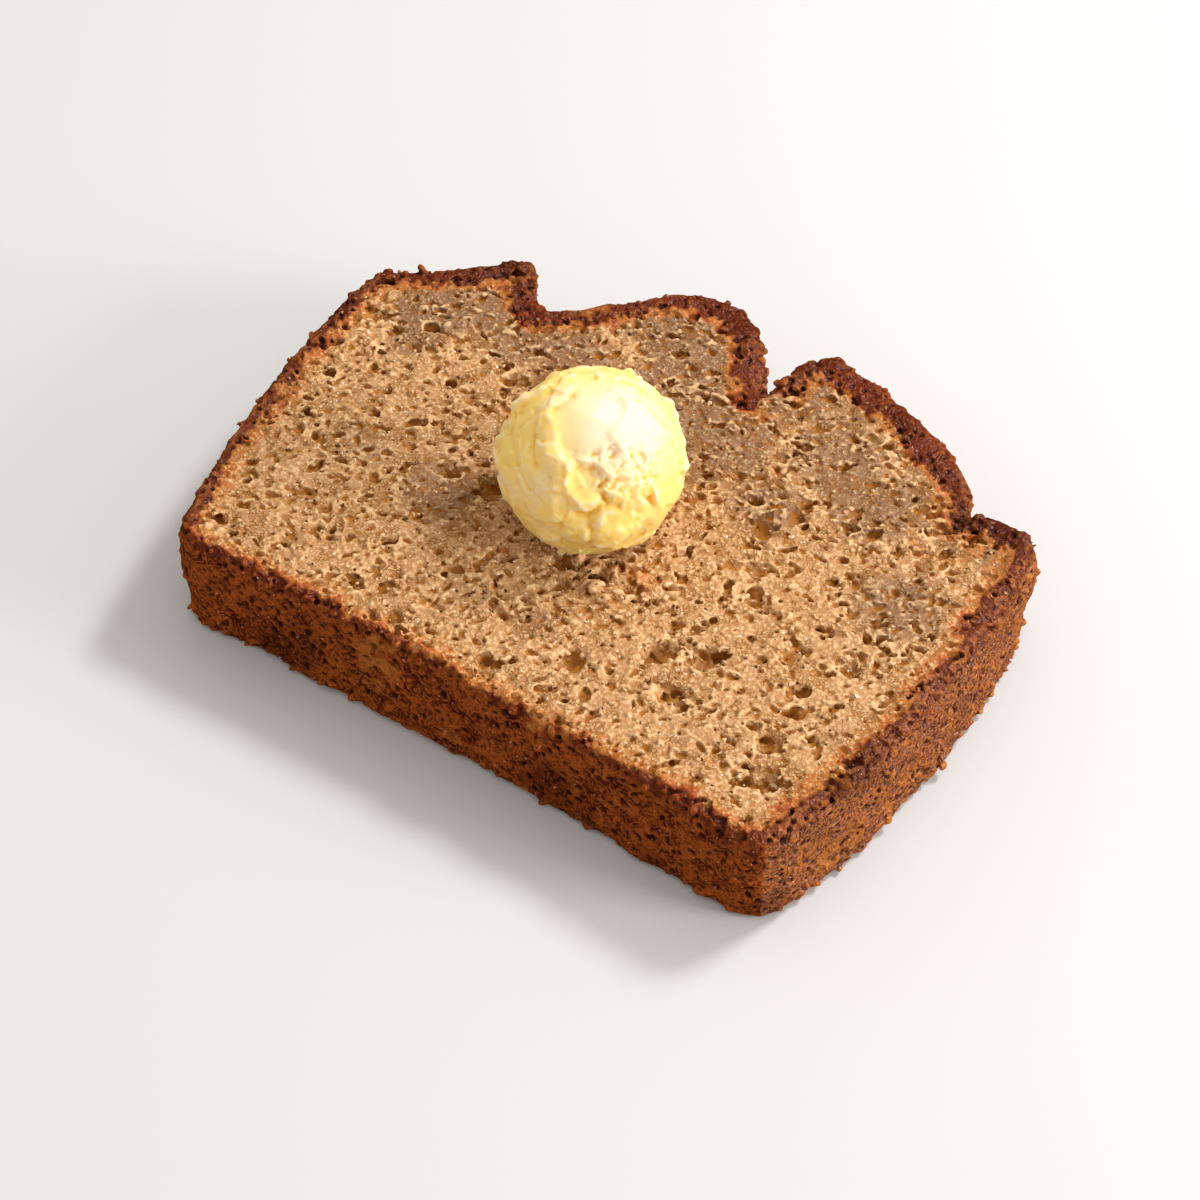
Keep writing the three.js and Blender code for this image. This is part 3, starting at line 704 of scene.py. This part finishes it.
def sculpt_bread(look):
    """The slice with its crumb and crust: its points, its faces and the layers that colour it."""
    block = Block(BREAD, look.detail / MM, margin=2.0, reach=7.5)
    face = CUT_FACE / MM
    x, y, z = block.grids()
    below, inside, thickness, side = crust_depths(block, face, look)
    block.values = block.blurred(0.45)
    moist = moist_patches(block)
    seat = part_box(BUTTER)
    middle = (seat[0] + seat[1]) / (2 * MM)
    from_butter = np.hypot(x - middle.x, y - middle.y)
    open_crumb = 1 - (1 - fade(from_butter, PRESSED, OPEN)) * (z > face / 2)
    swell(block, face, below, inside, moist, open_crumb, look)
    block.make_ragged(CRUMB_RAGGED, 0.75, look.grain_lie)
    open_pores(block, face, inside, open_crumb, look)
    block.ragged = CRUST_RAGGED
    roughen_crust(block, face, below, inside)

    # The slice stands on a flat underside.
    block.values = np.maximum(block.values, (-z).astype(np.float32))
    points, triangles, quads = block.surface()
    mottle = block.noise(1.3) + 0.7 * block.noise(0.65)
    baked = block.at(inside / np.sqrt(0.4 * np.maximum(thickness, 1)), points)
    from_flake = np.hypot(points[:, 0] - FLAKE[0], points[:, 1] - FLAKE[1]) + 9 * (points[:, 2] < face / 2)
    baked = np.minimum(baked, 1.7 + 1.5 * np.maximum(from_flake - 1.5, 0))
    # The hollow layers set painted shade in the pits; the side layer sets the side walls' painted sheen.
    layers = {"inside": baked, "moist": block.at(moist + 0 * z, points),
              "mottle": block.at(mottle, points), "patch": block.at(block.noise(6.0), points),
              "hollow": block.hollows(0.40, points), "wide_hollow": block.hollows(1.0, points),
              "side": block.at(side + 0 * z, points), "top": fade(points[:, 2], face - 2.5, face - 0.5)}
    return points, (triangles, quads), layers


FACETS = 55     # flat scrapes that the scoop left round the butter

# Where the butter's folds run and its spots lie: bearing and elevation round the middle of the ball, in
# degrees. LIT is the middle of the lit side, where the butter is painted paler as painted light.
CAP = (-58, 72)
LIT = (-10, 62)
THUMB = ((-122, 60), (-108, 55), (-97, 49), (-87, 41))
THUMB_EDGE = ((-125, 62), (-108, 61), (-93, 55), (-78, 44))
CREASES = (((-139, 39), (-135, 53), (-122, 64), (-128, 73), (-150, 79)),
           ((-125, 51), (-110, 41), (-101, 34)), ((-75, 0), (-77, -25)), ((-56, 4), (-56, -18)),
           ((43, 58), (31, 44), (29, 35)), ((23, 27), (19, 14)))
TORN_GROOVE = ((-65, 10), (-58, 10), (-51, 15), (-46, 20))
BOWL = (-58, 33)
BOWL_LIP = ((-60, 14), (-65, 20), (-68, 27), (-73, 32), (-75, 39), (-71, 44), (-59, 46), (-50, 42))
SCRAPES = (((65, 75), (29, 68), (-3, 63), (-30, 59)), ((-34, 22), (-30, 7)), ((-24, 16), (-19, -3)),
           ((-14, 15), (-9, -2)), ((-75, 30), (-87, 23)), ((-81, 19), (-79, 8), (-72, 2)))
FLANGES = (((90, 45), (76, 52), (58, 47), (53, 34), (41, 26), (32, 14), (20, 8)),
           ((-147, 21), (-151, 7), (-137, 11)),
           ((-158, 32), (-158, 50), (-168, 61), (152, 70), (117, 67)),
           ((-150, 32), (-166, 44), (-170, 30)))
BULGES = ((-65, -8), (-45, -8), (-33, -3), (-85, -22))
TORN = ((-38, 40), (-16, 34), (-38, 27), (-20, 20))
TUFTS = ((-161, 46), (-158, 36), (-51, 7))


def towards(bearing, elevation):
    """The direction of a bearing and an elevation in degrees."""
    b, e = math.radians(bearing), math.radians(elevation)
    return np.array([math.cos(e) * math.cos(b), math.cos(e) * math.sin(b), math.sin(e)], np.float32)


def from_path(ways, path, radius):
    """How far directions lie from a path over a ball, in millimetres."""
    nearest = np.full(len(ways), np.inf, np.float32)
    for a, b in zip(path, path[1:]):
        a, b = towards(*a), towards(*b)
        along = b - a
        t = np.clip((ways - a) @ along / (along @ along), 0, 1)
        nearest = np.minimum(nearest, np.linalg.norm(ways - a - t[:, None] * along, axis=1))
    return nearest * radius


def from_spot(ways, spot, radius):
    """How far directions lie from a spot on a ball, in millimetres."""
    return np.linalg.norm(ways - towards(*spot), axis=1) * radius


def fold(distance, width, height):
    """A soft fold, or a groove where its height is negative."""
    return height * np.exp(-(distance / width) ** 2)


def sharp_fold(distance, width, height):
    """A fold with a thin crest."""
    return height * np.maximum(1 - distance / width, 0) ** 1.6


def dome(distance, width, height):
    """A round bulge, or a bowl where its height is negative."""
    return height * np.maximum(1 - (distance / width) ** 2, 0) ** 0.7


def scrape_facets(ways, radius, rng):
    """How far flat scrapes all round the ball cut into it."""
    rise = np.zeros(len(ways), np.float32)
    for _ in range(FACETS):
        facing = rng.normal(size=3)
        level = ways @ (facing / np.linalg.norm(facing)).astype(np.float32)
        flat = radius * (rng.uniform(0.955, 0.985) / np.maximum(level, 0.5) - 1)
        rise = smooth_least(rise, flat, 0.12)
    return rise


def lay_folds(rise, ways, radius, uneven):
    """Add the folds that the photo shows to the rise over the ball."""
    rise += dome(from_spot(ways, CAP, radius), 5.2, 0.30)
    rise += fold(from_path(ways, THUMB, radius), 1.9, 0.8)
    rise += sharp_fold(from_path(ways, THUMB_EDGE, radius), 0.8, 0.2)
    for path in CREASES:
        rise += fold(from_path(ways, path, radius), 0.55, -0.4)
    rise += dome(from_spot(ways, BOWL, radius), 3.0, -0.9)
    rise += sharp_fold(from_path(ways, BOWL_LIP, radius), 1.0, 0.45) * uneven
    rise += fold(from_path(ways, TORN_GROOVE, radius), 0.9, -1.1)
    for path in SCRAPES:
        rise += fold(from_path(ways, path, radius), 0.6, 0.3) * uneven
    for path in FLANGES:
        rise += fold(from_path(ways, path, radius), 0.8, 0.9) * uneven
    for spot in BULGES:
        rise += dome(from_spot(ways, spot, radius), 2.8, 0.6)
    for spot in TUFTS:
        rise += fold(from_spot(ways, spot, radius), 0.9, 0.6) * uneven


def lay_flakes(rise, ways, radius, block, band, look):
    """Add flakes in the torn bowl, and thin smeared layers everywhere but there and on the smooth dome near
    the top.
    """
    shaggy = np.zeros(len(ways), np.float32)
    for spot in TORN:
        shaggy = np.maximum(shaggy, 1 - fade(from_spot(ways, spot, radius), 2.6, 4.2))
    torn = np.zeros(block.values.shape, np.float32)
    torn[band] = shaggy
    calm = fade(from_spot(ways, CAP, radius), 3.5, 7.0) * (1 - shaggy)
    tears = look.torn_bumps / MM
    large = block.flakes(torn > 0.05, 2.4, tears, 0.17)
    small = block.flakes(torn > 0.05, 1.0, 0.6 * tears, 0.20)
    streaks = block.noise((1.6, 0.7, 0.7))
    rise += shaggy * (large + small - 1.5 * tears + 0.6 * tears * streaks)[band]
    smears = look.scrape_bumps / MM
    large = block.flakes(band, 4.0, smears, 0.05)
    small = block.flakes(band, 2.0, 0.5 * smears, 0.06)
    rise += calm * (large + small)[band]
    rise += 1.2 * smears * calm * block.noise(3.0)[band]


def sculpt_butter(look):
    """The ball of butter: its points, its faces and the layers that colour it."""
    step = look.detail / MM
    radius = look.radius / MM
    block = Block(BUTTER, step, margin=1.6, reach=3.0)
    x, y, z = block.grids()
    low, high = (np.array(corner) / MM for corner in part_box(BUTTER))
    middle = np.array([(low[0] + high[0]) / 2, (low[1] + high[1]) / 2, high[2] - radius])
    ball = np.sqrt((x - middle[0]) ** 2 + (y - middle[1]) ** 2 + (z - middle[2]) ** 2) - radius
    block.values = ball.astype(np.float32)

    # Folds are laid over the ball by direction, a little wandering.
    band = np.abs(block.values) < 2.4
    place = np.argwhere(band)
    spokes = ((place + block.start) * step - middle).astype(np.float32)
    ways = spokes / np.linalg.norm(spokes, axis=1, keepdims=True)
    wander = np.stack([block.noise(2.2)[band], block.noise(2.2)[band], block.noise(2.2)[band]], axis=1)
    ways += 0.022 * wander
    uneven = (0.8 + 0.8 * block.noise(1.2))[band]
    rise = scrape_facets(ways, radius, block.rng)
    lay_folds(rise, ways, radius, uneven)
    lay_flakes(rise, ways, radius, block, band, look)

    # The foot spreads a little and has nubs, and its underside is flat.
    foot = 1 - fade((place[:, 2] + block.start[2]) * step - low[2], 0.2, 2.4)
    rise += 0.45 * foot * (block.noise(1.5)[band] + 0.4)
    block.values[band] -= rise
    block.values = block.blurred(0.12)
    block.make_ragged(0.4, 0.6)
    block.scatter(block.add, (z < low[2] + 2.5) & (z > low[2] + 0.5), 60, BUTTER_NUBS)
    block.values = np.maximum(block.values, (low[2] - z).astype(np.float32))
    points, triangles, quads = block.surface()
    # Nearness to the lit side round LIT, for the painted light that makes the butter pale there.
    from_lit = from_spot((points - middle) / radius, LIT, radius)
    layers = {"hollow": block.hollows(0.45, points), "lit_side": 1 - fade(from_lit, 3.0, 12.0)}
    return points, (triangles, quads), layers


ROUND_BUTTER = 0.55     # share of the loose crumbs that lie in a ring round the butter
RING, RING_WIDTH = 11.0, 8.0        # the ring's inner radius and its width, in millimetres


def make_crumbs(look, bread):
    """Loose crumbs lying on the cut face, most of them round the foot of the butter."""
    rng = np.random.default_rng(7)
    low, high = (np.array(corner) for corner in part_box(BREAD))
    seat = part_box(BUTTER)
    middle = (seat[0] + seat[1]) / 2
    ball = bmesh.new()
    bmesh.ops.create_icosphere(ball, subdivisions=2, radius=1.0)
    shape = np.array([vertex.co for vertex in ball.verts])
    sides = np.array([[vertex.index for vertex in face.verts] for face in ball.faces])
    ball.free()
    points, triangles = [], []
    while len(points) < look.count:
        x, y = rng.uniform(low[:2], high[:2])
        if rng.random() < ROUND_BUTTER:
            bearing = rng.uniform(0, math.tau)
            away = (RING + RING_WIDTH * rng.random() ** 2) * MM
            x = middle.x + away * math.cos(bearing)
            y = middle.y + away * math.sin(bearing)
        found, place, normal, _ = bread.ray_cast(Vector((x, y, high[2] + 0.01)), Vector((0, 0, -1)))
        if not found or normal.z < 0.5 or place.z < CUT_FACE - 1.5 * MM:
            continue
        size = 0.5 * look.width * rng.uniform(0.45, 1.0) * np.array([1.0, rng.uniform(0.6, 1.0), 0.7])
        turn = np.linalg.qr(rng.normal(size=(3, 3)))[0]
        lump = shape * rng.uniform(0.72, 1.15, (len(shape), 1)) * size
        triangles.append(sides + len(shape) * len(points))
        points.append(lump @ turn + np.array(place) + (0, 0, 0.25 * size[0]))
    points = np.concatenate(points) / MM
    count = len(points)
    layers = {"inside": np.full(count, 9.0), "mottle": rng.uniform(-0.5, 0.9, count),
              "hollow": np.full(count, -0.10), "top": np.ones(count)}
    for name in ("moist", "patch", "side", "wide_hollow"):
        layers[name] = np.zeros(count)
    return mesh_object("crumbs", points, [np.concatenate(triangles)], layers)


def aim_camera(look):
    """The camera, looking down at the slice from its front left."""
    a, e = look.azimuth, look.elevation
    back = Vector((math.sin(a) * math.cos(e), -math.cos(a) * math.cos(e), math.sin(e)))
    camera = bpy.data.objects.new("camera", bpy.data.cameras.new("camera"))
    bpy.context.scene.collection.objects.link(camera)
    camera.data.lens = look.lens
    camera.data.sensor_width = 36.0
    camera.data.clip_start = 0.01
    camera.location = Vector(look.aim) + back * look.distance
    camera.rotation_euler = (-back).to_track_quat("-Z", "Y").to_euler()
    bpy.context.scene.camera = camera


# Each light's name, the direction it comes from, its distance and size in metres, its power in watts and its
# tint.
LIGHTS = (("key light", (0.34, 0.72, 0.96), 0.9, 0.16, 5.45, (1.0, 0.985, 0.96)),
          ("overhead light", (0.05, 0.1, 1.0), 1.1, 1.0, 2.0, (1.0, 0.96, 0.90)),
          ("side light", (1.0, 0.28, 0.36), 0.9, 0.3, 6.2, (1.0, 0.96, 0.91)))
STUDIO_TINT = (1.0, 0.935, 0.86, 1.0)
STUDIO_STRENGTH = 0.72
FLOOR_REACH = 2.0       # from the middle of the floor to its edges, in metres


def area_light(name, source, distance, size, power, tint):
    """A square studio light that shines on the middle of the slice."""
    data = bpy.data.lights.new(name, "AREA")
    data.size = size
    data.energy = power
    data.color = tint
    lamp = bpy.data.objects.new(name, data)
    bpy.context.scene.collection.objects.link(lamp)
    direction = Vector(source).normalized()
    lamp.location = direction * distance
    lamp.rotation_euler = direction.to_track_quat("Z", "Y").to_euler()


class BREAD_OT_slice(bpy.types.Operator):
    """Bake the slice: crumb, pores and crust"""
    bl_idname = "bread.slice"
    bl_label = "Slice"

    def execute(self, context):
        look = context.scene.bread_slice
        points, faces, layers = sculpt_bread(look)
        piece = mesh_object("banana_bread", points, faces, layers)
        wear(piece, bread_material(look), BREAD)
        return {"FINISHED"}


class BREAD_OT_butter(bpy.types.Operator):
    """Set the ball of butter on the slice"""
    bl_idname = "bread.butter"
    bl_label = "Butter"

    def execute(self, context):
        look = context.scene.bread_butter
        points, faces, layers = sculpt_butter(look)
        piece = mesh_object("butter", points, faces, layers)
        wear(piece, butter_material(look), BUTTER)
        return {"FINISHED"}


class BREAD_OT_crumbs(bpy.types.Operator):
    """Strew loose crumbs over the cut face"""
    bl_idname = "bread.crumbs"
    bl_label = "Crumbs"

    def execute(self, context):
        bread = bpy.data.objects["banana_bread"]
        piece = make_crumbs(context.scene.bread_crumbs, bread)
        wear(piece, bread.data.materials[0])
        return {"FINISHED"}


class BREAD_OT_stage(bpy.types.Operator):
    """Lay the pale floor and set the lights and the camera"""
    bl_idname = "bread.stage"
    bl_label = "Stage"

    def execute(self, context):
        look = context.scene.bread_stage
        corners = [(-1, -1, 0), (1, -1, 0), (1, 1, 0), (-1, 1, 0)]
        floor = mesh_object("floor", np.array(corners) * FLOOR_REACH / MM, [np.array([[0, 1, 2, 3]])])
        floor.data.materials.append(floor_material(look))
        floor.visible_glossy = False
        for light in LIGHTS:
            area_light(*light)
        world = bpy.data.worlds.new("studio")
        world.use_nodes = True
        background = world.node_tree.nodes["Background"]
        background.inputs["Color"].default_value = STUDIO_TINT
        background.inputs["Strength"].default_value = STUDIO_STRENGTH
        world.cycles_visibility.glossy = False
        context.scene.world = world
        context.scene.view_settings.view_transform = "Standard"
        aim_camera(look)
        return {"FINISHED"}


class BREAD_PT_panel(bpy.types.Panel):
    """The pieces of the banana bread and their settings"""
    bl_idname = "BREAD_PT_panel"
    bl_label = "Banana bread"
    bl_space_type = "VIEW_3D"
    bl_region_type = "UI"
    bl_category = "Banana bread"

    def draw(self, context):
        for group, operator in SECTIONS:
            box = self.layout.box()
            settings = getattr(context.scene, group)
            for key in settings.__annotations__:
                box.prop(settings, key)
            box.operator(operator)


SETTINGS = {"bread_slice": BreadSettings, "bread_butter": ButterSettings,
            "bread_crumbs": CrumbSettings, "bread_stage": StageSettings}
SECTIONS = [("bread_slice", "bread.slice"), ("bread_butter", "bread.butter"),
            ("bread_crumbs", "bread.crumbs"), ("bread_stage", "bread.stage")]
CLASSES = [*SETTINGS.values(), BREAD_OT_slice, BREAD_OT_butter, BREAD_OT_crumbs, BREAD_OT_stage,
           BREAD_PT_panel]


def register():
    for cls in CLASSES:
        bpy.utils.register_class(cls)
    for name, cls in SETTINGS.items():
        setattr(bpy.types.Scene, name, bpy.props.PointerProperty(type=cls))


def unregister():
    for name in SETTINGS:
        delattr(bpy.types.Scene, name)
    for cls in reversed(CLASSES):
        bpy.utils.unregister_class(cls)


def main():
    register()
    bpy.ops.bread.slice()
    bpy.ops.bread.butter()
    bpy.ops.bread.crumbs()
    bpy.ops.bread.stage()


if __name__ == "__main__":
    main()
